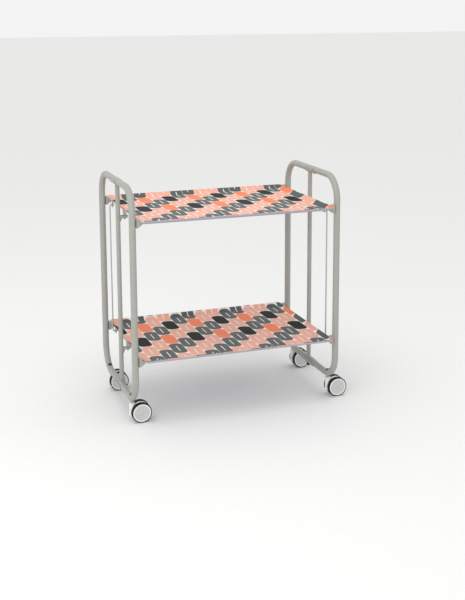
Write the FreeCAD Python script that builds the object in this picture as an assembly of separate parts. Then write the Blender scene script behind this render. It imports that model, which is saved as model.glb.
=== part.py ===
import FreeCAD
import Part
import math
import os

# Two-tier serving trolley on four twin-wheel casters.
# Millimetres, +Z up, floor at Z = 0, trays run along X, the user stands at -Y.
# Everything is laid out about the middle of the tube frames, and moved along X
# at export so that the origin is the bottom centre of the whole trolley.

V = FreeCAD.Vector
UP = V(0, 0, 1)
ALONG_X = V(1, 0, 0)
ALONG_Y = V(0, 1, 0)

# ---- driving dimensions -------------------------------------------------
frame_spacing = 648.0      # between the middle planes of the two end loops
loop_width = 396.0         # between a loop's upright axes
rail_top_z = 720.0         # axis of the top rails
tube_d = 20.0
tube_wall = 1.5
bend_r = 72.0              # centre-line radius of the loops' corners

post_d = 14.0
post_wall = 1.2
post_lap = 0.5             # overlap of the post and the saddle's side

tray_length = 610.0
tray_width = 454.0
upper_rim_drop = 86.0      # upper rim below the top rails' axis
lower_rim_z = 214.0
tray_corner_r = 12.0
tray_depth = 11.0
tray_sheet = 1.2
hem_height = 6.0
hem_width = 2.5
wall_inset = 12.0          # how far the dished wall runs inwards

pivot_drop = 28.0          # tray pivots lie this far below the rims
arm_d = 10.0
arm_root_h = 16.0          # arm's fillet web against the post
arm_sink = 1.0             # how far the web is let into the journal
arm_end_inset = 15.0       # arm ends this far inside the tray's end
plate_t = 3.0              # tray hinge plates
plate_inset = 5.0
plate_w = 34.0
plate_below = 9.0
plate_taper = 1.4          # rise over run of the plate's cut lower corners

claw_w = 20.0              # corner claws, along Y
claw_drop = 24.0
claw_rise = 3.0
claw_under = 14.0          # reach under the tray
claw_gap = 0.4             # to the tube it bears on
claw_lip = 4.0             # thickness at its tips
claw_step = 2.0            # its lap over the hem

rod_d = 4.0
rod_y = 160.0
rod_drop = 20.0            # rod pins lie this far below the rims
rod_bend_r = 6.0
rod_gap = 0.6              # rod to tray end
lug_t = 2.0
lug_w = 16.0
lug_below = 7.0
clip_d = 8.0
clip_t = 2.0
clip_gap = 0.3             # clip to lug

saddle_t = 2.0
top_saddle_len = 66.0
bottom_saddle_len = 76.0
saddle_side = 5.0          # how far the U's sides rise past the rail's axis
screw_head_d = 6.0
screw_head_h = 2.2
screw_head_r = 1.0         # rounding of a head's edge
screw_d = 3.0
screw_in = 7.0             # from each end of a saddle
cap_d = 13.0               # caps and nuts
cap_h = 6.0
cap_r = 2.0                # rounding of a cap's edge
pin_d = 6.0

wheel_d = 62.0
wheel_w = 14.0
tread_t = 3.0
shoulder_r = 2.2           # rounding of the tread's edges
hub_ring_t = 5.0
hub_recess = 2.0
disc_t = 1.5
disc_gap = 0.2
dish_share = 0.62          # dished middle, as a share of the disc
dish_depth = 0.6
axle_d = 6.0
axle_in = 0.4              # axle end inside the hub's face
caster_trail = 26.0
stem_d = 8.0
stem_y = 146.0
hood_w = 12.0
hood_rim_gap = 2.0         # hood edge inside the wheel's outline
wheel_side_gap = 0.8
neck_d = 18.0
neck_foot = 18.0           # height of the neck's lower end
neck_foot_r = 4.0
bridge_drop = 6.0          # web between neck and centre body, below the neck's top
caster_rail_gap = 1.0      # wheel top to bottom rail
socket_depth = 24.0
stem_end_gap = 0.5         # stem's end to the socket's floor
hood_top_gap = 0.5         # hood's top below the wheel's top

run_clear = 0.05           # radial clearance of turning pins
open_clear = 0.3           # radial clearance at the rods' lower pins

# ---- sizes that follow --------------------------------------------------
tube_r = tube_d / 2
frame_x = frame_spacing / 2
loop_y = loop_width / 2
post_x = frame_x - tube_r - saddle_t + post_d / 2 + post_lap
wheel_r = wheel_d / 2
rail_low_z = wheel_d + caster_rail_gap + tube_r
upper_rim_z = rail_top_z - upper_rim_drop
tray_x = tray_length / 2
tray_y = tray_width / 2
rod_x = tray_x + rod_gap + rod_d / 2
plate_x = tray_x - plate_inset
saddle_r = tube_r + saddle_t
arm_end_x = tray_x - arm_end_inset
clip_x = plate_x - lug_t - clip_t - clip_gap
hood_top = wheel_d - hood_top_gap
side_in = hood_w / 2 + wheel_side_gap
side_out = side_in + wheel_w
origin_x = (frame_x + caster_trail + wheel_r - frame_x - saddle_r) / 2

os.makedirs("parts", exist_ok=True)


def save(name, solids):
    """Write one node; several solids go in as one compound."""
    shape = solids[0] if len(solids) == 1 else Part.makeCompound(solids)
    shape = shape.copy()
    shape.translate(V(-origin_x, 0, 0))
    shape.exportStep(os.path.join("parts", name + ".step"))


def rod(centre, direction, diameter, length):
    return Part.makeCylinder(diameter / 2, length, centre, direction)


def box(x0, x1, y0, y1, z0, z1):
    low = V(min(x0, x1), y0, z0)
    return Part.makeBox(abs(x1 - x0), y1 - y0, z1 - z0, low)


def ring_face(centre, normal, diameter, wall):
    outer = Part.Face(Part.Wire(Part.makeCircle(diameter / 2, centre, normal)))
    inner = Part.Face(Part.Wire(Part.makeCircle(diameter / 2 - wall, centre, normal)))
    return outer.cut(inner).Faces[0]


def rail_cylinder(side, z, diameter, length):
    """Plain cylinder along a loop's rail, used to seat pieces on it."""
    return rod(V(side * frame_x, -length / 2, z), ALONG_Y, diameter, length)


# ---- end loops ----------------------------------------------------------
def loop(side):
    """Closed round-cornered tube loop: four straights and four bends."""
    x = side * frame_x
    y = loop_y - bend_r
    top = rail_top_z - bend_r
    low = rail_low_z + bend_r
    pieces = []
    for end in (-1, 1):
        upright = ring_face(V(x, end * loop_y, low), UP, tube_d, tube_wall)
        pieces.append(upright.extrude(V(0, 0, top - low)))
    for z in (rail_low_z, rail_top_z):
        rail = ring_face(V(x, -y, z), ALONG_Y, tube_d, tube_wall)
        pieces.append(rail.extrude(V(0, 2 * y, 0)))
    for end in (-1, 1):
        for z, turn in ((top, end), (low, -end)):
            start = ring_face(V(x, end * loop_y, z), UP, tube_d, tube_wall)
            bend = start.revolve(V(x, end * y, z), ALONG_X, 90 * turn)
            pieces.append(bend)
    tube = pieces[0].multiFuse(pieces[1:]).removeSplitter()
    for end in (-1, 1):
        tube = tube.cut(stem(side, end))
    for place in screw_places():
        tube = tube.cut(screw(side, place))
    tube = tube.cut(post_pin(side))
    return tube.Solids[0]


# ---- posts, their saddles and pins --------------------------------------
def screw_places():
    """Along Y: one screw near each end of the top saddle."""
    reach = top_saddle_len / 2 - screw_in
    return (-reach, reach)


def saddle(side, z, length):
    """Pressed U that wraps the lower half of a rail."""
    x = side * frame_x
    outer = rod(V(x, -length / 2, z), ALONG_Y, 2 * saddle_r, length)
    sides = box(x - saddle_r, x + saddle_r, -length / 2, length / 2, z, z + saddle_side)
    lower = box(x - saddle_r, x + saddle_r, -length / 2, length / 2, z - saddle_r, z)
    shell = outer.common(lower).fuse(sides)
    shell = shell.cut(rod(V(x, -length, z), ALONG_Y, tube_d, 2 * length))
    open_top = box(x - tube_r, x + tube_r, -length, length, z, z + 2 * saddle_side)
    shell = shell.cut(open_top)
    return shell.removeSplitter()


def screw(side, y):
    """Pan-head screw up through the saddle into the rail's lower wall."""
    x = side * frame_x
    top = rail_top_z - tube_r + tube_wall
    seat = rail_top_z - saddle_r
    shank = rod(V(x, y, seat), UP, screw_d, top - seat)
    head = rod(V(x, y, seat - screw_head_h), UP, screw_head_d, screw_head_h)
    rim = [e for e in head.Edges if abs(e.BoundBox.ZMax - (seat - screw_head_h)) < 0.01]
    head = head.makeFillet(screw_head_r, rim)
    lift = rod(V(x, y, seat), UP, screw_head_d, saddle_t)
    lift = lift.cut(rod(V(x, y - screw_head_d, rail_top_z), ALONG_Y, 2 * saddle_r, 4 * screw_head_d))
    return shank.fuse(head).fuse(lift).removeSplitter()


def post_pin(side):
    """Pin that fixes the post's foot through the bottom rail."""
    x = side * post_x
    low = rail_low_z - saddle_r - cap_h / 2
    high = rail_low_z + tube_r + cap_h
    return rod(V(x, 0, low), UP, pin_d, high - low)


def post_bolt(side):
    """The pin with its domed head, seated under the bottom saddle."""
    x = side * post_x
    low = rail_low_z - saddle_r - cap_h
    head = rod(V(x, 0, low), UP, cap_d, cap_h + saddle_t)
    edge = [e for e in head.Edges if e.BoundBox.ZMax < low + 0.01]
    head = head.makeFillet(cap_r, edge)
    head = head.cut(rail_cylinder(side, rail_low_z, 2 * saddle_r, 4 * cap_d))
    return head.fuse(post_pin(side)).removeSplitter().Solids[0]


def post(side):
    x = side * post_x
    low = rail_low_z
    high = rail_top_z
    tube = ring_face(V(x, 0, low), UP, post_d, post_wall).extrude(V(0, 0, high - low))
    tube = tube.cut(rail_cylinder(side, rail_low_z, tube_d, loop_width))
    tube = tube.cut(rail_cylinder(side, rail_top_z, 2 * saddle_r, loop_width))
    above = box(x - post_d, x + post_d, -post_d, post_d, rail_top_z - tube_r / 2, high + 1)
    below = box(x - post_d, x + post_d, -post_d, post_d, low - 1, rail_low_z + saddle_side)
    tube = tube.cut(above).cut(below)
    return max(tube.Solids, key=lambda s: s.Volume)


def tray_arm(side, rim_z):
    """Journal from the post to under the tray's end, with a web at its root."""
    z = rim_z - pivot_drop
    start = side * (post_x - post_d / 2 - arm_sink / 2)
    journal = rod(V(side * post_x, 0, z), V(-side, 0, 0), arm_d, post_x - arm_end_x)
    web_end = side * (tray_x + arm_sink)
    high = z - arm_d / 2 + arm_sink
    corners = [V(start, 0, high), V(web_end, 0, high), V(start, 0, z - arm_root_h)]
    profile = Part.Face(Part.makePolygon(corners + [corners[0]]))
    web = profile.extrude(V(0, arm_d / 2, 0))
    web.translate(V(0, -arm_d / 4, 0))
    root = box(side * post_x, start, -arm_d / 4, arm_d / 4, z - arm_root_h, z)
    arm = journal.fuse(web).fuse(root)
    arm = arm.cut(rod(V(side * post_x, 0, z - 2 * arm_root_h), UP, post_d, 4 * arm_root_h))
    arm = max(arm.Solids, key=lambda s: s.Volume)
    return arm.removeSplitter()


# ---- trays --------------------------------------------------------------
def tray_outline(inset, z):
    """Round-cornered rectangle, shrunk by the inset."""
    x = tray_x - inset
    y = tray_y - inset
    r = max(tray_corner_r - inset, 2.0)
    k = r * (1 - math.sqrt(0.5))
    edges = []
    for sx, sy in ((1, 1), (-1, 1), (-1, -1), (1, -1)):
        first = V(sx * x, sy * (y - r), z)
        last = V(sx * (x - r), sy * y, z)
        if sx * sy < 0:
            first, last = last, first
        edges.append((first, V(sx * (x - k), sy * (y - k), z), last))
    wire = []
    for here, after in zip(edges, edges[1:] + edges[:1]):
        wire.append(Part.Arc(*here).toShape())
        wire.append(Part.makeLine(here[2], after[0]))
    return Part.Wire(wire)


def tray_envelope(rim_z):
    """Outside of a tray with its dish filled in."""
    floor_z = rim_z - tray_depth - tray_sheet
    hem = Part.Face(tray_outline(0, rim_z - hem_height)).extrude(V(0, 0, hem_height))
    upper = tray_outline(hem_width, rim_z - hem_height + tray_sheet)
    lower = tray_outline(hem_width + wall_inset, floor_z)
    return hem.fuse(Part.makeLoft([upper, lower], True, True)).removeSplitter()


def tray(rim_z):
    upper = tray_outline(hem_width, rim_z)
    lower = tray_outline(hem_width + wall_inset, rim_z - tray_depth)
    dish = Part.makeLoft([upper, lower], True, True)
    return tray_envelope(rim_z).cut(dish).Solids[0]


def tray_brackets(rim_z):
    """Hinge plates on the arms, and the two lugs that take the link rods."""
    skin = tray_envelope(rim_z)
    pivot_z = rim_z - pivot_drop
    pin_z = rim_z - rod_drop
    pieces = []
    for side in (-1, 1):
        x0 = side * (plate_x - plate_t)
        x1 = side * plate_x
        plate = box(x0, x1, -plate_w / 2, plate_w / 2, pivot_z, rim_z)
        eye = rod(V(min(x0, x1), 0, pivot_z), ALONG_X, 2 * (arm_d / 2 + plate_below / 2), plate_t)
        trim = plate_w / 2 - arm_d
        for end in (-1, 1):
            low = [V(x0, end * plate_w / 2, pivot_z), V(x0, end * (plate_w / 2 - trim), pivot_z)]
            low.append(V(x0, end * plate_w / 2, pivot_z + trim * plate_taper))
            wedge = Part.Face(Part.makePolygon(low + [low[0]]))
            plate = plate.cut(wedge.extrude(V(x1 - x0, 0, 0)))
        bore = rod(V(min(x0, x1) - 1, 0, pivot_z), ALONG_X, arm_d + 2 * run_clear, plate_t + 2)
        pieces.append(plate.fuse(eye).cut(bore).cut(skin).removeSplitter().Solids[0])
    clear = run_clear if rim_z == upper_rim_z else open_clear
    for side in (-1, 1):
        y = -side * rod_y
        x0 = side * (plate_x - lug_t)
        x1 = side * plate_x
        lug = box(x0, x1, y - lug_w / 2, y + lug_w / 2, pin_z, rim_z)
        eye = rod(V(min(x0, x1), y, pin_z), ALONG_X, lug_w, lug_t)
        bore = rod(V(min(x0, x1) - 1, y, pin_z), ALONG_X, rod_d + 2 * clear, lug_t + 2)
        pieces.append(lug.fuse(eye).cut(bore).cut(skin).removeSplitter().Solids[0])
    return pieces


def tray_claws(rim_z):
    """Corner claws: each bears on the inner side of an upright."""
    skin = tray_envelope(rim_z)
    outer = frame_x - tube_r - claw_gap
    inner = tray_x - claw_under
    pieces = []
    for side in (-1, 1):
        for end in (-1, 1):
            y0 = end * loop_y - claw_w / 2
            profile = [V(side * outer, y0, rim_z + claw_rise)]
            profile.append(V(side * outer, y0, rim_z - claw_drop))
            profile.append(V(side * (outer - claw_lip), y0, rim_z - claw_drop))
            profile.append(V(side * inner, y0, rim_z - hem_height - claw_lip))
            profile.append(V(side * inner, y0, rim_z - hem_height + claw_step))
            profile.append(V(side * (tray_x + 1), y0, rim_z + claw_rise - claw_step))
            face = Part.Face(Part.makePolygon(profile + [profile[0]]))
            claw = face.extrude(V(0, claw_w, 0)).cut(skin)
            claw = max(claw.Solids, key=lambda s: s.Volume)
            pieces.append(claw.removeSplitter())
    return pieces


# ---- link rods ----------------------------------------------------------
def link_rod(side):
    """Wire with both ends bent inboard as pins."""
    x = side * rod_x
    y = -side * rod_y
    low = lower_rim_z - rod_drop
    high = upper_rim_z - rod_drop
    inward = V(-side, 0, 0)
    straight = rod(V(x, y, low + rod_bend_r), UP, rod_d, high - low - 2 * rod_bend_r)
    pin_start = x - side * rod_bend_r
    pin_len = abs(pin_start) - clip_x
    result = straight
    for z, turn in ((high, -side), (low, side)):
        start_z = z - rod_bend_r if z == high else z + rod_bend_r
        disc = Part.Face(Part.Wire(Part.makeCircle(rod_d / 2, V(x, y, start_z), UP)))
        bend = disc.revolve(V(pin_start, y, start_z), ALONG_Y, 90 * turn)
        pin = rod(V(pin_start, y, z), inward, rod_d, pin_len)
        result = result.fuse(bend).fuse(pin)
    return result.removeSplitter().Solids[0]


def rod_clips(side):
    """Push-on clips inboard of the lugs."""
    pieces = []
    for rim_z in (lower_rim_z, upper_rim_z):
        centre = V(side * clip_x, -side * rod_y, rim_z - rod_drop)
        clip = rod(centre, V(side, 0, 0), clip_d, clip_t)
        clip = clip.cut(rod(centre, V(side, 0, 0), rod_d, clip_t))
        pieces.append(clip)
    return pieces


# ---- casters ------------------------------------------------------------
def stem(side, end):
    """Caster stem through the bottom rail."""
    low = hood_top - socket_depth + stem_end_gap
    high = rail_low_z + tube_r + cap_h / 2
    return rod(V(side * frame_x, end * stem_y, low), UP, stem_d, high - low)


def stem_nut(side, end):
    """Black cap nut on the stem, seated on the rail's crown."""
    seat = rail_low_z + tube_r / 2
    top = rail_low_z + tube_r + cap_h
    nut = rod(V(side * frame_x, end * stem_y, seat), UP, cap_d, top - seat)
    edge = [e for e in nut.Edges if e.BoundBox.ZMin > top - 0.01]
    nut = nut.makeFillet(cap_r, edge)
    nut = nut.cut(loop_outside(side))
    nut = nut.cut(stem(side, end))
    return max(nut.Solids, key=lambda s: s.Volume)


def loop_outside(side):
    """Filled outside of a loop's lower half, to seat the nuts on."""
    x = side * frame_x
    y = loop_y - bend_r
    low = rail_low_z + bend_r
    body = rail_cylinder(side, rail_low_z, tube_d, 2 * y)
    for end in (-1, 1):
        disc = Part.Face(Part.Wire(Part.makeCircle(tube_r, V(x, end * loop_y, low), UP)))
        body = body.fuse(disc.revolve(V(x, end * y, low), ALONG_X, -90 * end))
    return body


def wheel_axis(side, end, y):
    return V(side * frame_x + caster_trail, end * stem_y + y, wheel_r)


def hood(side, end):
    """Centre body between the wheels, with the neck that takes the stem."""
    x = side * frame_x
    y = end * stem_y
    disc_r = wheel_r - hood_rim_gap
    body = rod(wheel_axis(side, end, -hood_w / 2), ALONG_Y, 2 * disc_r, hood_w)
    bridge = box(x, x + caster_trail, y - hood_w / 2, y + hood_w / 2, wheel_r, hood_top - bridge_drop)
    neck = rod(V(x, y, neck_foot), UP, neck_d, hood_top - neck_foot)
    foot = [e for e in neck.Edges if e.BoundBox.ZMax < neck_foot + 0.01]
    neck = neck.makeFillet(neck_foot_r, foot)
    for way in (-1, 1):
        near = wheel_axis(side, end, way * hood_w / 2)
        neck = neck.cut(rod(near, V(0, way, 0), wheel_d + 2 * wheel_side_gap, wheel_w))
    body = body.fuse(bridge).fuse(neck).removeSplitter()
    bore_d = stem_d + 2 * run_clear
    body = body.cut(rod(V(x, y, hood_top - socket_depth), UP, bore_d, socket_depth + 1))
    body = body.cut(rod(wheel_axis(side, end, -hood_w), ALONG_Y, axle_d, 2 * hood_w))
    return max(body.Solids, key=lambda s: s.Volume)


def axle(side, end):
    reach = side_out - hub_recess - axle_in
    return rod(wheel_axis(side, end, -reach), ALONG_Y, axle_d, 2 * reach)


def tyre(side, end, way):
    start = wheel_axis(side, end, way * side_in)
    ring = rod(start, V(0, way, 0), wheel_d, wheel_w)
    ring = ring.makeFillet(shoulder_r, [e for e in ring.Edges if len(e.Vertexes) == 1])
    return ring.cut(rod(start, V(0, way, 0), wheel_d - 2 * tread_t, wheel_w))


def hub(side, end, way):
    """White wheel centre: raised ring, recess for the disc, bore."""
    across = V(0, way, 0)
    start = wheel_axis(side, end, way * side_in)
    outer_d = wheel_d - 2 * tread_t
    body = rod(start, across, outer_d, wheel_w)
    face = wheel_axis(side, end, way * (side_out - hub_recess))
    body = body.cut(rod(face, across, outer_d - 2 * hub_ring_t, hub_recess))
    return body.cut(rod(start, across, axle_d + 2 * run_clear, wheel_w))


def hub_disc(side, end, way):
    across = V(0, way, 0)
    face = wheel_axis(side, end, way * (side_out - hub_recess))
    d = wheel_d - 2 * tread_t - 2 * hub_ring_t - 2 * disc_gap
    disc = rod(face, across, d, disc_t)
    dish_from = wheel_axis(side, end, way * (side_out - hub_recess + disc_t - dish_depth))
    dish = rod(dish_from, across, d * dish_share, disc_t)
    return disc.cut(dish)


# ---- write every node ---------------------------------------------------
for side, hand in ((-1, "left"), (1, "right")):
    save(hand + "_frame_tube", [loop(side)])
    top = saddle(side, rail_top_z, top_saddle_len)
    for y in screw_places():
        top = top.cut(screw(side, y))
    save(hand + "_top_saddle", [top])
    bottom = saddle(side, rail_low_z, bottom_saddle_len)
    save(hand + "_bottom_saddle", [bottom.cut(post_pin(side))])
    save(hand + "_saddle_screws", [screw(side, y) for y in screw_places()])
    save(hand + "_post", [post(side)])
    save(hand + "_post_bolt", [post_bolt(side)])
    save(hand + "_tray_arms", [tray_arm(side, z) for z in (lower_rim_z, upper_rim_z)])
    save(hand + "_caster_stems", [stem(side, end) for end in (-1, 1)])
    save(hand + "_stem_nuts", [stem_nut(side, end) for end in (-1, 1)])
    save(hand + "_link_rod", [link_rod(side)])
    save(hand + "_rod_clips", rod_clips(side))

for level, rim_z in (("lower", lower_rim_z), ("upper", upper_rim_z)):
    save(level + "_tray", [tray(rim_z)])
    save(level + "_tray_brackets", tray_brackets(rim_z))
    save(level + "_tray_claws", tray_claws(rim_z))

for side, hand in ((-1, "left"), (1, "right")):
    for end, place in ((-1, "front"), (1, "back")):
        caster = place + "_" + hand
        save(caster + "_hood", [hood(side, end)])
        save(caster + "_axle", [axle(side, end)])
        for way, which in ((-1, "near"), (1, "far")):
            wheel = caster + "_" + which
            save(wheel + "_tyre", [tyre(side, end, way)])
            save(wheel + "_hub", [hub(side, end, way)])
            save(wheel + "_disc", [hub_disc(side, end, way)])
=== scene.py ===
import bpy
import math
from mathutils import Matrix, Vector


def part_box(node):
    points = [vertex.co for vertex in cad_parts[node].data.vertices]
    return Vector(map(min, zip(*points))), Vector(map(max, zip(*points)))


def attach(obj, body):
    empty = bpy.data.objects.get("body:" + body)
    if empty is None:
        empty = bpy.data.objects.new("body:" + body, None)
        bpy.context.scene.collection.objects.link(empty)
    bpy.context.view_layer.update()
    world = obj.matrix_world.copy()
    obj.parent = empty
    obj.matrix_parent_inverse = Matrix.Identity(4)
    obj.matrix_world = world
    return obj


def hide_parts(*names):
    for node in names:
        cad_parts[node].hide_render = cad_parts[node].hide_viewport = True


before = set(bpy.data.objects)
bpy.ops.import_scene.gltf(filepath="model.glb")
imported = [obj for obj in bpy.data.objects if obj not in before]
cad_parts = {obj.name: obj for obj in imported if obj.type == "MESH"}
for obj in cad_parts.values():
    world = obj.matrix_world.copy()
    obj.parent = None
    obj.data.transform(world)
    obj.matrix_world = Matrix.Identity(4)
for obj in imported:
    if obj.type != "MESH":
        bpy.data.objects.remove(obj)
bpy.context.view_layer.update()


# ---- Camera, floor and light ----------------------------------------------
# A pale, flat studio floor under soft light from above and the left.
# Light comes from a large overhead box, a big side box and the bright room.
def linear(hex_colour):
    """sRGB hex to linear RGBA."""
    channels = [int(hex_colour[i:i + 2], 16) / 255 for i in (1, 3, 5)]
    return [c / 12.92 if c <= 0.04045 else ((c + 0.055) / 1.055) ** 2.4 for c in channels] + [1.0]


def add_node(tree, kind, settings=None, inputs=None):
    """One node with its settings; an input is a value, or a socket to link from."""
    node = tree.nodes.new(kind)
    for name, value in (settings or {}).items():
        setattr(node, name, value)
    for key, value in (inputs or {}).items():
        if isinstance(value, bpy.types.NodeSocket):
            tree.links.new(value, node.inputs[key])
        else:
            node.inputs[key].default_value = value
    return node


def new_material(name):
    material = bpy.data.materials.new(name)
    material.use_nodes = True
    material.node_tree.nodes.clear()
    return material


def place(obj):
    bpy.context.scene.collection.objects.link(obj)
    return obj


camera_at = Vector((-1.0648, -3.1124, 1.2413))
camera_turn, camera_tip, camera_roll = 0.33822, 0.18209, -0.00469
look = Vector((
    math.sin(camera_turn) * math.cos(camera_tip),
    math.cos(camera_turn) * math.cos(camera_tip),
    -math.sin(camera_tip),
))
level = Vector((math.cos(camera_turn), -math.sin(camera_turn), 0))
raised = level.cross(look)
across = math.cos(camera_roll) * level + math.sin(camera_roll) * raised
upward = across.cross(look)
camera = place(bpy.data.objects.new("camera", bpy.data.cameras.new("camera")))
camera.data.sensor_width = 36
camera.data.lens = 63.5
camera.data.shift_y = -1 / 6
turned = Matrix((across, upward, -look)).transposed().to_4x4()
camera.matrix_world = Matrix.Translation(camera_at) @ turned
bpy.context.scene.camera = camera

floor_size = 80.0
floor_mesh = bpy.data.meshes.new("studio_floor")
half = floor_size / 2
floor_mesh.from_pydata(
    [(-half, -half, 0), (half, -half, 0), (half, half, 0), (-half, half, 0)], [], [(0, 1, 2, 3)])
studio_floor = place(bpy.data.objects.new("studio_floor", floor_mesh))
floor_paint = new_material("matt white studio sweep")
tree = floor_paint.node_tree
where = add_node(tree, "ShaderNodeTexCoord")
grain = add_node(tree, "ShaderNodeTexNoise", inputs={"Vector": where.outputs["Object"], "Scale": 60.0})
tone = add_node(tree, "ShaderNodeMix", {"data_type": "RGBA"}, {
    0: grain.outputs["Fac"], 6: linear("#F1F1F0"), 7: linear("#F5F5F4")})
paint = add_node(tree, "ShaderNodeBsdfPrincipled", inputs={
    "Base Color": tone.outputs[2], "Roughness": 0.9, "Specular IOR Level": 0.2})
add_node(tree, "ShaderNodeOutputMaterial", inputs={"Surface": paint.outputs["BSDF"]})
floor_mesh.materials.append(floor_paint)

room = bpy.data.worlds.new("bright room")
room.use_nodes = True
room.node_tree.nodes["Background"].inputs["Color"].default_value = (1.0, 1.0, 1.0, 1.0)
room.node_tree.nodes["Background"].inputs["Strength"].default_value = 0.9
bpy.context.scene.world = room
bpy.context.scene.view_settings.view_transform = "Standard"


def soft_box(name, at, aim, size, watts):
    light = bpy.data.lights.new(name, "AREA")
    light.shape = "RECTANGLE"
    light.size, light.size_y = size
    light.energy = watts
    lamp = place(bpy.data.objects.new(name, light))
    lamp.location = at
    lamp.rotation_euler = (Vector(aim) - Vector(at)).to_track_quat("-Z", "Y").to_euler()


soft_box("overhead_box", (-0.6, -0.6, 2.8), (0, 0, 0.3), (2.4, 1.8), 13)
soft_box("left_box", (-2.3, -2.3, 1.5), (0, 0, 0.3), (1.6, 1.6), 20)


# ---- Tube frames and posts -------------------------------------------------
# Two closed loops bent from 20 mm round steel tube and butt welded, each with
# a 14 mm post held to its rails by saddles. All of it is sprayed with warm grey
# polyester powder, which flows into a fine orange peel when it is baked.
def powder_coat(name, low_hex, high_hex):
    """Baked powder: slight mottling, an orange peel about 1.6 mm across, fine specks."""
    material = new_material(name)
    tree = material.node_tree
    mottle_scale = 28.0     # to the metre: clouds 36 mm across
    peel_scale = 620.0      # swells 1.6 mm across
    speck_scale = 2600.0    # specks 0.4 mm across
    where = add_node(tree, "ShaderNodeTexCoord").outputs["Object"]
    mottle = add_node(tree, "ShaderNodeTexNoise", inputs={
        "Vector": where, "Scale": mottle_scale, "Detail": 3.0})
    colour = add_node(tree, "ShaderNodeMix", {"data_type": "RGBA"}, {
        0: mottle.outputs["Fac"], 6: linear(low_hex), 7: linear(high_hex)})
    peel = add_node(tree, "ShaderNodeTexNoise", inputs={"Vector": where, "Scale": peel_scale, "Detail": 1.0})
    speck = add_node(tree, "ShaderNodeTexNoise", inputs={
        "Vector": where, "Scale": speck_scale, "Detail": 0.0})
    relief = add_node(tree, "ShaderNodeMath", {"operation": "MULTIPLY_ADD"}, {
        0: speck.outputs["Fac"], 1: 0.35, 2: peel.outputs["Fac"]})
    bump = add_node(tree, "ShaderNodeBump", inputs={
        "Strength": 0.35, "Distance": 0.0004, "Height": relief.outputs["Value"]})
    gloss = add_node(tree, "ShaderNodeMapRange", inputs={
        "Value": peel.outputs["Fac"], "To Min": 0.36, "To Max": 0.5})
    surface = add_node(tree, "ShaderNodeBsdfPrincipled", inputs={
        "Base Color": colour.outputs[2], "Roughness": gloss.outputs["Result"],
        "IOR": 1.5, "Specular IOR Level": 0.4, "Normal": bump.outputs["Normal"]})
    add_node(tree, "ShaderNodeOutputMaterial", inputs={"Surface": surface.outputs["BSDF"]})
    return material


grey_powder = powder_coat("warm grey powder coat", "#A0A099", "#A9A9A2")

tube_tree = bpy.data.node_groups.new("Bent tube", "GeometryNodeTree")
tube_face = tube_tree.interface
tube_face.new_socket("Centre line", in_out="INPUT", socket_type="NodeSocketGeometry")
tube_inputs = {}
for label, kind in (
        ("Diameter", "NodeSocketFloat"), ("Bend radius", "NodeSocketFloat"),
        ("Bend steps", "NodeSocketInt"), ("Round steps", "NodeSocketInt"),
        ("Finish", "NodeSocketMaterial")):
    tube_inputs[label] = tube_face.new_socket(label, in_out="INPUT", socket_type=kind).identifier
tube_face.new_socket("Tube", in_out="OUTPUT", socket_type="NodeSocketGeometry")
given = add_node(tube_tree, "NodeGroupInput").outputs
line = add_node(tube_tree, "GeometryNodeMeshToCurve", inputs={"Mesh": given["Centre line"]})
bent = add_node(tube_tree, "GeometryNodeFilletCurve", {"mode": "POLY"}, {
    "Curve": line.outputs["Curve"], "Radius": given["Bend radius"],
    "Count": given["Bend steps"], "Limit Radius": True})
radius = add_node(tube_tree, "ShaderNodeMath", {"operation": "MULTIPLY"}, {
    0: given["Diameter"], 1: 0.5})
profile = add_node(tube_tree, "GeometryNodeCurvePrimitiveCircle", inputs={
    "Resolution": given["Round steps"], "Radius": radius.outputs["Value"]})
drawn = add_node(tube_tree, "GeometryNodeCurveToMesh", inputs={
    "Curve": bent.outputs["Curve"], "Profile Curve": profile.outputs["Curve"], "Fill Caps": True})
smooth = add_node(tube_tree, "GeometryNodeSetShadeSmooth", inputs={"Geometry": drawn.outputs["Mesh"]})
realised = add_node(tube_tree, "GeometryNodeRealizeInstances", inputs={
    "Geometry": smooth.outputs["Geometry"]})
finished = add_node(tube_tree, "GeometryNodeSetMaterial", inputs={
    "Geometry": realised.outputs["Geometry"], "Material": given["Finish"]})
add_node(tube_tree, "NodeGroupOutput", inputs={"Tube": finished.outputs["Geometry"]})


def grown(name, mesh, tree, settings):
    """The plain mesh that a node tree grows from the given mesh."""
    seed = place(bpy.data.objects.new(name + "_seed", mesh))
    modifier = seed.modifiers.new(name, "NODES")
    modifier.node_group = tree
    for identifier, value in settings.items():
        modifier[identifier] = value
    graph = bpy.context.evaluated_depsgraph_get()
    result = bpy.data.meshes.new_from_object(seed.evaluated_get(graph))
    seed.modifiers.remove(modifier)
    bpy.data.objects.remove(seed)
    result.name = name
    result.set_sharp_from_angle(angle=math.radians(40))
    return place(bpy.data.objects.new(name, result))


def tube(name, points, closed, diameter, bend, steps, finish):
    """Round tube along corner points, bent to one radius at each corner."""
    edges = [(i, i + 1) for i in range(len(points) - 1)]
    if closed:
        edges.append((len(points) - 1, 0))
    centre_line = bpy.data.meshes.new(name)
    centre_line.from_pydata(points, edges, [])
    return grown(name, centre_line, tube_tree, {
        tube_inputs["Diameter"]: diameter, tube_inputs["Bend radius"]: bend,
        tube_inputs["Bend steps"]: steps[0], tube_inputs["Round steps"]: steps[1],
        tube_inputs["Finish"]: finish})


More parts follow.
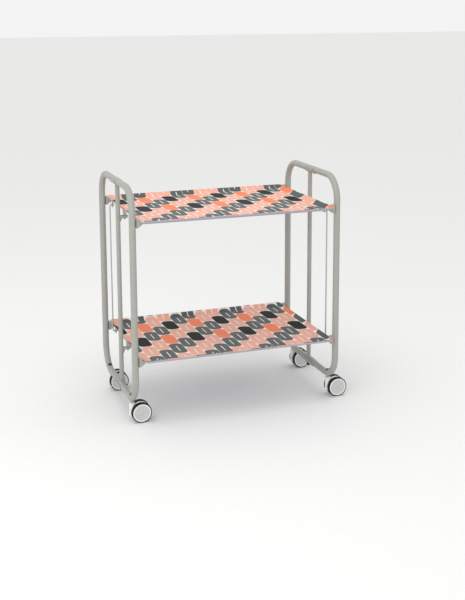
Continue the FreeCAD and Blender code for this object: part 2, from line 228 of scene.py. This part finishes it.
frame_tube_d = 0.020
frame_bend_r = 0.072
loop_steps = (18, 40)    # along each bend, round the tube
post_steps = (1, 36)
for hand in ("left", "right"):
    low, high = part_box(hand + "_frame_tube")
    r = frame_tube_d / 2
    x = (low.x + high.x) / 2
    corners = [
        (x, low.y + r, low.z + r), (x, low.y + r, high.z - r),
        (x, high.y - r, high.z - r), (x, high.y - r, low.z + r)]
    loop = tube(hand + "_tube_loop", corners, True, frame_tube_d, frame_bend_r, loop_steps, grey_powder)
    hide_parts(hand + "_frame_tube")
    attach(loop, "frame")

    low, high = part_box(hand + "_post")
    middle = (low + high) / 2
    ends = [(middle.x, middle.y, low.z), (middle.x, middle.y, high.z)]
    post = tube(hand + "_round_post", ends, False, high.y - low.y, 0.0, post_steps, grey_powder)
    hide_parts(hand + "_post")
    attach(post, "frame")


# ---- Saddles, tray arms, brackets and claws --------------------------------
# Pressed and bent 2 to 3 mm steel, welded or screwed to the posts and trays,
# and sprayed with the same powder as the tubes.
def refinish(nodes, material):
    for name in nodes:
        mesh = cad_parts[name].data
        mesh.materials.clear()
        mesh.materials.append(material)


refinish([hand + part for hand in ("left", "right")
          for part in ("_top_saddle", "_bottom_saddle", "_tray_arms")], grey_powder)
refinish([tier + part for tier in ("upper", "lower")
          for part in ("_tray_brackets", "_tray_claws")], grey_powder)


# ---- Trays ------------------------------------------------------------------
# Shallow trays pressed from 1.2 mm steel sheet with a folded hem. The top face
# is offset printed in four inks on white and lacquered; the outside and the
# underside are a plain lavender grey that is painted shade and reflection.
tray_hem = 0.0025
tray_hem_h = 0.006
tray_wall = 0.012
tray_sheet = 0.0012
sole_in = 0.004           # flat of the underside, in from the wall's foot
heel_out = 0.002          # bevel at the wall's foot
fold = 0.003              # half the soft bend from wall to floor
hem_steps = 6             # outer quarter of the hem
crest_steps = 12          # over the top of the hem
fold_steps = 6
tray_corner = 0.012
least_corner = 0.002      # where the inset would leave less
corner_steps = 10


def rounded_ring(x0, x1, y0, y1, inset, z):
    """Points round a rectangle with soft corners, anticlockwise from above."""
    r = max(tray_corner - inset, least_corner)
    points = []
    corners = ((x1, y1, 0), (x0, y1, 90), (x0, y0, 180), (x1, y0, 270))
    for cx, cy, start in corners:
        sx = 1 if cx == x1 else -1
        sy = 1 if cy == y1 else -1
        mx = cx - sx * (inset + r)
        my = cy - sy * (inset + r)
        for step in range(corner_steps + 1):
            a = math.radians(start + 90 * step / corner_steps)
            points.append((mx + r * math.cos(a), my + r * math.sin(a), z))
    return points


def printed_sheet(name, column, shift_x, shift_y):
    """Brick pattern of upright rounded shapes, some with a white slit."""
    row = 95.0                      # all in mm
    half_w = column / 2 - 0.5
    half_h = 46.6
    soft_r = 16.0
    slit_half_w = 1.5
    slit_half_h = 23.0
    ink_edge = 0.35
    ink_grain_scale = 900.0         # to the metre: dots 1.1 mm across
    ripple_scale = 140.0            # ripples 7 mm across
    material = new_material(name)
    tree = material.node_tree

    where = add_node(tree, "ShaderNodeTexCoord").outputs["Object"]
    placed = add_node(tree, "ShaderNodeMapping", inputs={
        "Vector": where, "Scale": (1000.0, 1000.0, 1000.0), "Location": (shift_x, shift_y, 0.0)})
    part = add_node(tree, "ShaderNodeSeparateXYZ", inputs={"Vector": placed.outputs["Vector"]})
    columns = add_node(tree, "ShaderNodeMath", {"operation": "DIVIDE"}, {
        0: part.outputs["X"], 1: column}).outputs["Value"]
    column_no = add_node(tree, "ShaderNodeMath", {"operation": "FLOOR"}, {0: columns}).outputs["Value"]
    odd = add_node(tree, "ShaderNodeMath", {"operation": "FLOORED_MODULO"}, {
        0: column_no, 1: 2.0}).outputs["Value"]
    drop = add_node(tree, "ShaderNodeMath", {"operation": "MULTIPLY_ADD"}, {
        0: odd, 1: 1.5, 2: 0.5}).outputs["Value"]
    level_rows = add_node(tree, "ShaderNodeMath", {"operation": "DIVIDE"}, {
        0: part.outputs["Y"], 1: row}).outputs["Value"]
    rows = add_node(tree, "ShaderNodeMath", {"operation": "ADD"}, {
        0: level_rows, 1: drop}).outputs["Value"]
    row_no = add_node(tree, "ShaderNodeMath", {"operation": "FLOOR"}, {0: rows}).outputs["Value"]

    from_centre = []
    for count, pitch in ((columns, column), (rows, row)):
        share = add_node(tree, "ShaderNodeMath", {"operation": "FRACT"}, {0: count}).outputs["Value"]
        off_middle = add_node(tree, "ShaderNodeMath", {"operation": "SUBTRACT"}, {
            0: share, 1: 0.5}).outputs["Value"]
        from_centre.append(add_node(tree, "ShaderNodeMath", {"operation": "MULTIPLY"}, {
            0: off_middle, 1: pitch}).outputs["Value"])
    u, v = from_centre

    row_of_four = add_node(tree, "ShaderNodeMath", {"operation": "FLOORED_MODULO"}, {
        0: row_no, 1: 4.0}).outputs["Value"]
    past_second = add_node(tree, "ShaderNodeMath", {"operation": "SUBTRACT"}, {
        0: row_of_four, 1: 2.0}).outputs["Value"]
    from_second = add_node(tree, "ShaderNodeMath", {"operation": "ABSOLUTE"}, {
        0: past_second}).outputs["Value"]
    column_of_four = add_node(tree, "ShaderNodeMath", {"operation": "FLOORED_MODULO"}, {
        0: column_no, 1: 4.0}).outputs["Value"]
    warm_column = add_node(tree, "ShaderNodeMath", {"operation": "GREATER_THAN"}, {
        0: column_of_four, 1: 1.5}).outputs["Value"]
    ink_no = add_node(tree, "ShaderNodeMath", {"operation": "MULTIPLY_ADD"}, {
        0: warm_column, 1: 3.0, 2: from_second}).outputs["Value"]
    grey, salmon, charcoal, coral = "#626664", "#F3B49F", "#101313", "#F88A62"
    order = [grey, salmon, charcoal, salmon, grey, coral]
    ink_middle = add_node(tree, "ShaderNodeMath", {"operation": "ADD"}, {
        0: ink_no, 1: 0.5}).outputs["Value"]
    ink_share = add_node(tree, "ShaderNodeMath", {"operation": "DIVIDE"}, {
        0: ink_middle, 1: float(len(order))}).outputs["Value"]
    inks = add_node(tree, "ShaderNodeValToRGB", inputs={"Fac": ink_share})
    ramp = inks.color_ramp
    ramp.interpolation = "CONSTANT"
    while len(ramp.elements) < len(order):
        ramp.elements.new(0.5)
    for place_no, (element, ink) in enumerate(zip(ramp.elements, order)):
        element.position = place_no / len(order)
        element.color = linear(ink)

    def past(value, half):
        """How far a distance from the middle reaches past half a width."""
        size = add_node(tree, "ShaderNodeMath", {"operation": "ABSOLUTE"}, {0: value}).outputs["Value"]
        over = add_node(tree, "ShaderNodeMath", {"operation": "SUBTRACT"}, {
            0: size, 1: half}).outputs["Value"]
        return add_node(tree, "ShaderNodeMath", {"operation": "MAXIMUM"}, {
            0: over, 1: 0.0}).outputs["Value"]

    def hypotenuse(a, b):
        squares = [add_node(tree, "ShaderNodeMath", {"operation": "MULTIPLY"}, {
            0: side, 1: side}).outputs["Value"] for side in (a, b)]
        both = add_node(tree, "ShaderNodeMath", {"operation": "ADD"}, {
            0: squares[0], 1: squares[1]}).outputs["Value"]
        return add_node(tree, "ShaderNodeMath", {"operation": "SQRT"}, {0: both}).outputs["Value"]

    outside = hypotenuse(past(u, half_w - soft_r), past(v, half_h - soft_r))
    body = add_node(tree, "ShaderNodeMapRange", inputs={
        "Value": outside, "From Min": soft_r + ink_edge, "From Max": soft_r - ink_edge})
    beside = hypotenuse(u, past(v, slit_half_h))
    clear = add_node(tree, "ShaderNodeMapRange", inputs={
        "Value": beside, "From Min": slit_half_w - ink_edge, "From Max": slit_half_w + ink_edge})
    solid_shape = add_node(tree, "ShaderNodeMath", {"operation": "GREATER_THAN"}, {
        0: from_second, 1: 1.5}).outputs["Value"]
    unslit = add_node(tree, "ShaderNodeMath", {"operation": "MAXIMUM"}, {
        0: clear.outputs["Result"], 1: solid_shape}).outputs["Value"]
    inked = add_node(tree, "ShaderNodeMath", {"operation": "MULTIPLY"}, {
        0: body.outputs["Result"], 1: unslit}).outputs["Value"]

    ink_grain = add_node(tree, "ShaderNodeTexNoise", inputs={
        "Vector": where, "Scale": ink_grain_scale, "Detail": 2.0})
    ink_tone = add_node(tree, "ShaderNodeMapRange", inputs={
        "Value": ink_grain.outputs["Fac"], "From Min": 0.3, "From Max": 0.7, "To Min": 0.93, "To Max": 1.04})
    dotted = add_node(tree, "ShaderNodeVectorMath", {"operation": "SCALE"}, {
        0: inks.outputs["Color"], "Scale": ink_tone.outputs["Result"]})
    colour = add_node(tree, "ShaderNodeMix", {"data_type": "RGBA"}, {
        0: inked, 6: linear("#F4F2EE"), 7: dotted.outputs["Vector"]})
    ripple = add_node(tree, "ShaderNodeTexNoise", inputs={
        "Vector": where, "Scale": ripple_scale, "Detail": 2.0})
    ink_step = add_node(tree, "ShaderNodeMath", {"operation": "MULTIPLY_ADD"}, {
        0: inked, 1: 0.4, 2: ripple.outputs["Fac"]}).outputs["Value"]
    bump = add_node(tree, "ShaderNodeBump", inputs={
        "Strength": 0.12, "Distance": 0.0003, "Height": ink_step})
    gloss = add_node(tree, "ShaderNodeMapRange", inputs={
        "Value": ripple.outputs["Fac"], "To Min": 0.36, "To Max": 0.5})
    surface = add_node(tree, "ShaderNodeBsdfPrincipled", inputs={
        "Base Color": colour.outputs[2], "Roughness": gloss.outputs["Result"],
        "IOR": 1.48, "Specular IOR Level": 0.05, "Normal": bump.outputs["Normal"]})
    add_node(tree, "ShaderNodeOutputMaterial", inputs={"Surface": surface.outputs["BSDF"]})
    return material


# The tray's outside and underside are drawn lavender grey, darker than the white top: painted shade and
# reflection, with the powder's mottle, peel and specks.
tray_outside_painted_shade = powder_coat("lavender grey painted shade on tray outside", "#A6A3AC", "#B0ADB6")
# Column pitch and the pattern's offsets along X and Y in mm. Each tray has its
# own set, fitted to the object, where one real print would have a single pitch.
# The layout follows the object's own print and isn't a generic one.
prints = {
    "lower": printed_sheet("offset printed sheet, lower tray", 43.6, 166.6, -128.0),
    "upper": printed_sheet("offset printed sheet, upper tray", 41.5, 153.9, -150.0),
}

for tier in ("lower", "upper"):
    low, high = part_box(tier + "_tray")
    rim = high.z
    floor_z = low.z + tray_sheet
    inner = tray_hem + tray_wall
    hem_r = tray_hem / 2
    outline = [(inner + sole_in, low.z), (inner, low.z), (inner - heel_out, low.z + tray_sheet)]
    outline.append((tray_hem, rim - tray_hem_h + tray_sheet))
    outline.append((tray_hem, rim - tray_hem_h))
    for step in range(hem_steps + 1):
        a = math.radians(-90 - 90 * step / hem_steps)
        outline.append((hem_r + hem_r * math.cos(a), rim - tray_hem_h + hem_r + hem_r * math.sin(a)))
    outside_count = len(outline) + 1
    for step in range(crest_steps + 1):
        a = math.radians(180 - 180 * step / crest_steps)
        outline.append((hem_r + hem_r * math.cos(a), rim - hem_r + hem_r * math.sin(a)))
    slope = (rim - hem_r - floor_z) / tray_wall
    for step in range(1, fold_steps + 1):
        t = step / fold_steps
        run = inner - fold + 2 * fold * t
        fall = slope * fold * (1 - t) ** 2
        outline.append((run, floor_z + fall))
    rings = [rounded_ring(low.x, high.x, low.y, high.y, inset, z) for inset, z in outline]
    count = len(rings[0])
    faces = []
    kinds = []
    for i in range(len(rings) - 1):
        for j in range(count):
            k = (j + 1) % count
            faces.append((i * count + j, i * count + k, (i + 1) * count + k, (i + 1) * count + j))
            kinds.append(1 if i < outside_count else 0)
    last = (len(rings) - 1) * count
    faces.append(tuple(last + j for j in range(count)))
    kinds.append(0)
    faces.append(tuple(reversed(range(count))))
    kinds.append(1)
    pressed = bpy.data.meshes.new(tier + "_pressed_tray")
    pressed.from_pydata([p for ring in rings for p in ring], [], faces)
    # Faces with index 1 (outer wall, outer hem and underside) take the lavender grey painted shade; the
    # inside and top take the print.
    pressed.materials.append(prints[tier])
    pressed.materials.append(tray_outside_painted_shade)
    pressed.polygons.foreach_set("material_index", kinds)
    pressed.shade_smooth()
    pressed.set_sharp_from_angle(angle=math.radians(35))
    tray = place(bpy.data.objects.new(tier + "_pressed_tray", pressed))
    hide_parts(tier + "_tray")
    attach(tray, tier + "_tray")


# ---- Link rods and their clips ----------------------------------------------
# A rod of 4 mm steel wire at each end ties the two trays, bent in at both ends
# through lugs and held there with dark push-on clips.
rod_bend_r = 0.006
rod_d = 0.004
rod_steps = (10, 20)


def steel(name, low_hex, high_hex, metallic, rough_low, rough_high, scratch):
    """Metal or its thin coat, with fine lines along Z and a soft cloudiness."""
    material = new_material(name)
    tree = material.node_tree
    line_scale = 2400.0     # to the metre: drawing lines 0.4 mm apart
    line_stretch = 0.06     # and about 7 mm long
    cloud_scale = 90.0      # clouds 11 mm across
    where = add_node(tree, "ShaderNodeTexCoord").outputs["Object"]
    drawn = add_node(tree, "ShaderNodeMapping", inputs={
        "Vector": where, "Scale": (1.0, 1.0, line_stretch)})
    lines = add_node(tree, "ShaderNodeTexNoise", inputs={
        "Vector": drawn.outputs["Vector"], "Scale": line_scale, "Detail": 2.0})
    cloud = add_node(tree, "ShaderNodeTexNoise", inputs={
        "Vector": where, "Scale": cloud_scale, "Detail": 3.0})
    colour = add_node(tree, "ShaderNodeMix", {"data_type": "RGBA"}, {
        0: cloud.outputs["Fac"], 6: linear(low_hex), 7: linear(high_hex)})
    rough = add_node(tree, "ShaderNodeMapRange", inputs={
        "Value": lines.outputs["Fac"], "From Min": 0.3, "From Max": 0.7,
        "To Min": rough_low, "To Max": rough_high})
    bump = add_node(tree, "ShaderNodeBump", inputs={
        "Strength": scratch, "Distance": 0.0002, "Height": lines.outputs["Fac"]})
    surface = add_node(tree, "ShaderNodeBsdfPrincipled", inputs={
        "Base Color": colour.outputs[2], "Metallic": metallic,
        "Roughness": rough.outputs["Result"], "Normal": bump.outputs["Normal"]})
    add_node(tree, "ShaderNodeOutputMaterial", inputs={"Surface": surface.outputs["BSDF"]})
    return material


plated_wire = steel("zinc plated steel wire", "#A9A9A7", "#BDBDBA", 0.85, 0.28, 0.42, 0.2)
black_oxide = steel("black oxide steel", "#2B2B2C", "#3A3A3B", 0.6, 0.38, 0.55, 0.25)

for hand in ("left", "right"):
    low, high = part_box(hand + "_link_rod")
    r = rod_d / 2
    if hand == "left":
        outer_x, pin_x = low.x + r, high.x
    else:
        outer_x, pin_x = high.x - r, low.x
    y = (low.y + high.y) / 2
    corners = [
        (pin_x, y, low.z + r), (outer_x, y, low.z + r),
        (outer_x, y, high.z - r), (pin_x, y, high.z - r)]
    wire = tube(hand + "_tie_wire", corners, False, rod_d, rod_bend_r, rod_steps, plated_wire)
    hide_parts(hand + "_link_rod")
    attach(wire, hand + "_link_rod")

refinish(["left_rod_clips", "right_rod_clips"], black_oxide)


# ---- Screws, bolts and nuts --------------------------------------------------
# Pan-head screws hold the top saddles, a bolt fixes each post's foot, and cap
# nuts close the caster stems. Heads and nuts are black; the stems are bright.
refinish([hand + part for hand in ("left", "right") for part in ("_post_bolt", "_stem_nuts")], black_oxide)
refinish(["left_caster_stems", "right_caster_stems"], plated_wire)

screw_tree = bpy.data.node_groups.new("Pan-head screws", "GeometryNodeTree")
screw_face = screw_tree.interface
screw_face.new_socket("Seats", in_out="INPUT", socket_type="NodeSocketGeometry")
screw_inputs = {}
for label, kind in (
        ("Head radius", "NodeSocketFloat"), ("Head height", "NodeSocketFloat"),
        ("Recess length", "NodeSocketFloat"), ("Recess width", "NodeSocketFloat"),
        ("Recess depth", "NodeSocketFloat"), ("Turn seed", "NodeSocketInt"),
        ("Finish", "NodeSocketMaterial")):
    screw_inputs[label] = screw_face.new_socket(label, in_out="INPUT", socket_type=kind).identifier
screw_face.new_socket("Screws", in_out="OUTPUT", socket_type="NodeSocketGeometry")
given = add_node(screw_tree, "NodeGroupInput").outputs
dome = add_node(screw_tree, "GeometryNodeMeshUVSphere", inputs={"Segments": 32, "Rings": 16, "Radius": 1.0})
swell = add_node(screw_tree, "ShaderNodeCombineXYZ", inputs={
    "X": given["Head radius"], "Y": given["Head radius"], "Z": given["Head height"]})
head = add_node(screw_tree, "GeometryNodeTransform", inputs={
    "Geometry": dome.outputs["Mesh"], "Scale": swell.outputs["Vector"]})
underside = add_node(screw_tree, "ShaderNodeMath", {"operation": "MULTIPLY"}, {
    0: given["Head height"], 1: -1.0})
tip = add_node(screw_tree, "ShaderNodeCombineXYZ", inputs={"Z": underside.outputs["Value"]})
depth = add_node(screw_tree, "ShaderNodeMath", {"operation": "MULTIPLY"}, {0: given["Recess depth"], 1: 2.0})
slots = []
for lengthwise, crosswise in (("Recess length", "Recess width"), ("Recess width", "Recess length")):
    size = add_node(screw_tree, "ShaderNodeCombineXYZ", inputs={
        "X": given[lengthwise], "Y": given[crosswise], "Z": depth.outputs["Value"]})
    bar = add_node(screw_tree, "GeometryNodeMeshCube", inputs={"Size": size.outputs["Vector"]})
    slots.append(add_node(screw_tree, "GeometryNodeTransform", inputs={
        "Geometry": bar.outputs["Mesh"], "Translation": tip.outputs["Vector"]}))
cut = add_node(screw_tree, "GeometryNodeMeshBoolean", {"operation": "DIFFERENCE"}, {
    "Mesh 1": head.outputs["Geometry"], "Mesh 2": slots[0].outputs["Geometry"]})
crossed = add_node(screw_tree, "GeometryNodeMeshBoolean", {"operation": "DIFFERENCE"}, {
    "Mesh 1": cut.outputs["Mesh"], "Mesh 2": slots[1].outputs["Geometry"]})
turn = add_node(screw_tree, "FunctionNodeRandomValue", {"data_type": "FLOAT_VECTOR"}, {
    "Min": (0.0, 0.0, 0.0), "Max": (0.0, 0.0, math.pi / 2), "Seed": given["Turn seed"]})
driven = add_node(screw_tree, "GeometryNodeInstanceOnPoints", inputs={
    "Points": given["Seats"], "Instance": crossed.outputs["Mesh"], "Rotation": turn.outputs["Value"]})
smooth = add_node(screw_tree, "GeometryNodeSetShadeSmooth", inputs={"Geometry": driven.outputs["Instances"]})
realised = add_node(screw_tree, "GeometryNodeRealizeInstances", inputs={
    "Geometry": smooth.outputs["Geometry"]})
finished = add_node(screw_tree, "GeometryNodeSetMaterial", inputs={
    "Geometry": realised.outputs["Geometry"], "Material": given["Finish"]})
add_node(screw_tree, "NodeGroupOutput", inputs={"Screws": finished.outputs["Geometry"]})

screw_head_h = 0.0022
recess_length = 0.0034
recess_width = 0.0009
recess_depth = 0.0012
for seed, hand in enumerate(("left", "right")):
    low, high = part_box(hand + "_saddle_screws")
    head_r = (high.x - low.x) / 2
    x = (low.x + high.x) / 2
    z = low.z + screw_head_h
    seats = bpy.data.meshes.new(hand + "_screw_seats")
    seats.from_pydata([(x, low.y + head_r, z), (x, high.y - head_r, z)], [], [])
    screws = grown(hand + "_pan_head_screws", seats, screw_tree, {
        screw_inputs["Head radius"]: head_r, screw_inputs["Head height"]: screw_head_h,
        screw_inputs["Recess length"]: recess_length, screw_inputs["Recess width"]: recess_width,
        screw_inputs["Recess depth"]: recess_depth, screw_inputs["Turn seed"]: seed,
        screw_inputs["Finish"]: black_oxide})
    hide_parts(hand + "_saddle_screws")
    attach(screws, "frame")


# ---- Casters ------------------------------------------------------------------
# Twin-wheel casters: moulded white nylon centres with a raised glossy ring, a
# pale snap-in cover, and a black tread moulded round each wheel.
def moulded(name, low_hex, high_hex, rough, texture_scale, strength, shine):
    """Injection-moulded plastic: fine mould texture and slight flow clouding."""
    material = new_material(name)
    tree = material.node_tree
    flow_scale = 60.0       # to the metre: flow clouds 17 mm across
    where = add_node(tree, "ShaderNodeTexCoord").outputs["Object"]
    flow = add_node(tree, "ShaderNodeTexNoise", inputs={
        "Vector": where, "Scale": flow_scale, "Detail": 2.0})
    colour = add_node(tree, "ShaderNodeMix", {"data_type": "RGBA"}, {
        0: flow.outputs["Fac"], 6: linear(low_hex), 7: linear(high_hex)})
    grit = add_node(tree, "ShaderNodeTexNoise", inputs={
        "Vector": where, "Scale": texture_scale, "Detail": 1.0})
    bump = add_node(tree, "ShaderNodeBump", inputs={
        "Strength": strength, "Distance": 0.0002, "Height": grit.outputs["Fac"]})
    gloss = add_node(tree, "ShaderNodeMapRange", inputs={
        "Value": grit.outputs["Fac"], "To Min": rough - 0.05, "To Max": rough + 0.07})
    surface = add_node(tree, "ShaderNodeBsdfPrincipled", inputs={
        "Base Color": colour.outputs[2], "Roughness": gloss.outputs["Result"],
        "IOR": 1.5, "Specular IOR Level": shine, "Normal": bump.outputs["Normal"]})
    add_node(tree, "ShaderNodeOutputMaterial", inputs={"Surface": surface.outputs["BSDF"]})
    return material


# The texture scales, to the metre, stand for grit 1.4, 1.1 and 0.8 mm across.
white_nylon = moulded("moulded white nylon", "#E6E6E4", "#EFEFED", 0.28, 700.0, 0.12, 0.5)
pale_cover = moulded("moulded pale grey cover", "#BFC0BF", "#CACBCA", 0.4, 900.0, 0.25, 0.4)
black_tread = moulded("black polyurethane tread", "#0E0E0F", "#171718", 0.5, 1200.0, 0.4, 0.2)

round_steps = 72


def turned_ring(name, profile, centre, way, finish):
    """Closed profile of (radius, distance out along the axle), spun about Y."""
    count = len(profile)
    points = []
    for step in range(round_steps):
        a = 2 * math.pi * step / round_steps
        for radius, out in profile:
            points.append((
                centre.x + radius * math.cos(a),
                centre.y + way * out,
                centre.z + radius * math.sin(a)))
    faces = []
    for step in range(round_steps):
        after = (step + 1) % round_steps
        for i in range(count):
            k = (i + 1) % count
            face = (step * count + i, after * count + i, after * count + k, step * count + k)
            faces.append(face if way > 0 else face[::-1])
    mesh = bpy.data.meshes.new(name)
    mesh.from_pydata(points, [], faces)
    mesh.materials.append(finish)
    mesh.shade_smooth()
    mesh.set_sharp_from_angle(angle=math.radians(38))
    return place(bpy.data.objects.new(name, mesh))


def arc(cx, cy, r, start, end, steps=6):
    """Profile points along an arc, in degrees."""
    angles = [math.radians(start + (end - start) * s / steps) for s in range(steps + 1)]
    return [(cx + r * math.cos(a), cy + r * math.sin(a)) for a in angles]


shoulder_r = 0.0022
recess = 0.002
ring_edge_r = 0.0012
cover_edge_r = 0.0005
dish_depth = 0.0009
dish_share = 0.5             # of the cover's radius, to the foot of the cone
cone_share = 0.8             # to the top of the cone
flat_share = 0.86            # to the inner edge of the flat rim
cone_lip = 0.3               # drop at the top of the cone, of the dish's depth
boss_r = 0.0055
boss_foot = 0.0006
pole_r = 0.00002
axle_bore_r = 0.00305
well_gap = 0.0002            # cover to the wheel centre's well
groove_places = (0.36, 0.64)
groove_half_w = 0.0007
groove_depth = 0.0005
for corner in ("front_left", "back_left", "front_right", "back_right"):
    for which, way in (("near", -1), ("far", 1)):
        wheel = corner + "_" + which
        low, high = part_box(wheel + "_tyre")
        outer = (high.z - low.z) / 2
        width = high.y - low.y
        inboard = high.y if way < 0 else low.y
        centre = Vector(((low.x + high.x) / 2, inboard, (low.z + high.z) / 2))
        hub_low, hub_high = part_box(wheel + "_hub")
        bore = (hub_high.z - hub_low.z) / 2

        tread = [(bore, 0.0)]
        tread += arc(outer - shoulder_r, shoulder_r, shoulder_r, -90, 0)
        for groove in groove_places:
            at = width * groove
            tread += [(outer, at - groove_half_w), (outer - groove_depth, at), (outer, at + groove_half_w)]
        tread += arc(outer - shoulder_r, width - shoulder_r, shoulder_r, 0, 90)
        tread += [(bore, width)]
        tyre = turned_ring(wheel + "_tread", tread, centre, way, black_tread)
        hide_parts(wheel + "_tyre")
        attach(tyre, wheel + "_wheel")

        low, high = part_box(wheel + "_disc")
        cover_r = (high.z - low.z) / 2
        cover_t = high.y - low.y
        face = width - recess
        well = cover_r + well_gap
        body = [(axle_bore_r, 0.0), (bore, 0.0)]
        body += arc(bore - ring_edge_r, width - ring_edge_r, ring_edge_r, 0, 90, 5)
        body += arc(well + ring_edge_r, width - ring_edge_r, ring_edge_r, 90, 180, 5)
        body += [(well, face), (axle_bore_r, face)]
        hub = turned_ring(wheel + "_wheel_centre", body, centre, way, white_nylon)
        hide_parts(wheel + "_hub")
        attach(hub, wheel + "_wheel")

        dish = face + cover_t - dish_depth
        cover = [(pole_r, face), (cover_r, face)]
        cover += arc(cover_r - cover_edge_r, face + cover_t - cover_edge_r, cover_edge_r, 0, 90, 4)
        cover += [(cover_r * flat_share, face + cover_t)]
        cover += [(cover_r * cone_share, face + cover_t - cone_lip * dish_depth)]
        cover += [(cover_r * dish_share, dish), (boss_r + boss_foot, dish)]
        cover += arc(boss_r - cover_edge_r, face + cover_t - cover_edge_r, cover_edge_r, 0, 90, 4)
        cover += [(pole_r, face + cover_t)]
        cap = turned_ring(wheel + "_cover", cover, centre, way, pale_cover)
        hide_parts(wheel + "_disc")
        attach(cap, wheel + "_wheel")
    refinish([corner + "_hood"], white_nylon)
    refinish([corner + "_axle"], plated_wire)


bpy.context.view_layer.update()
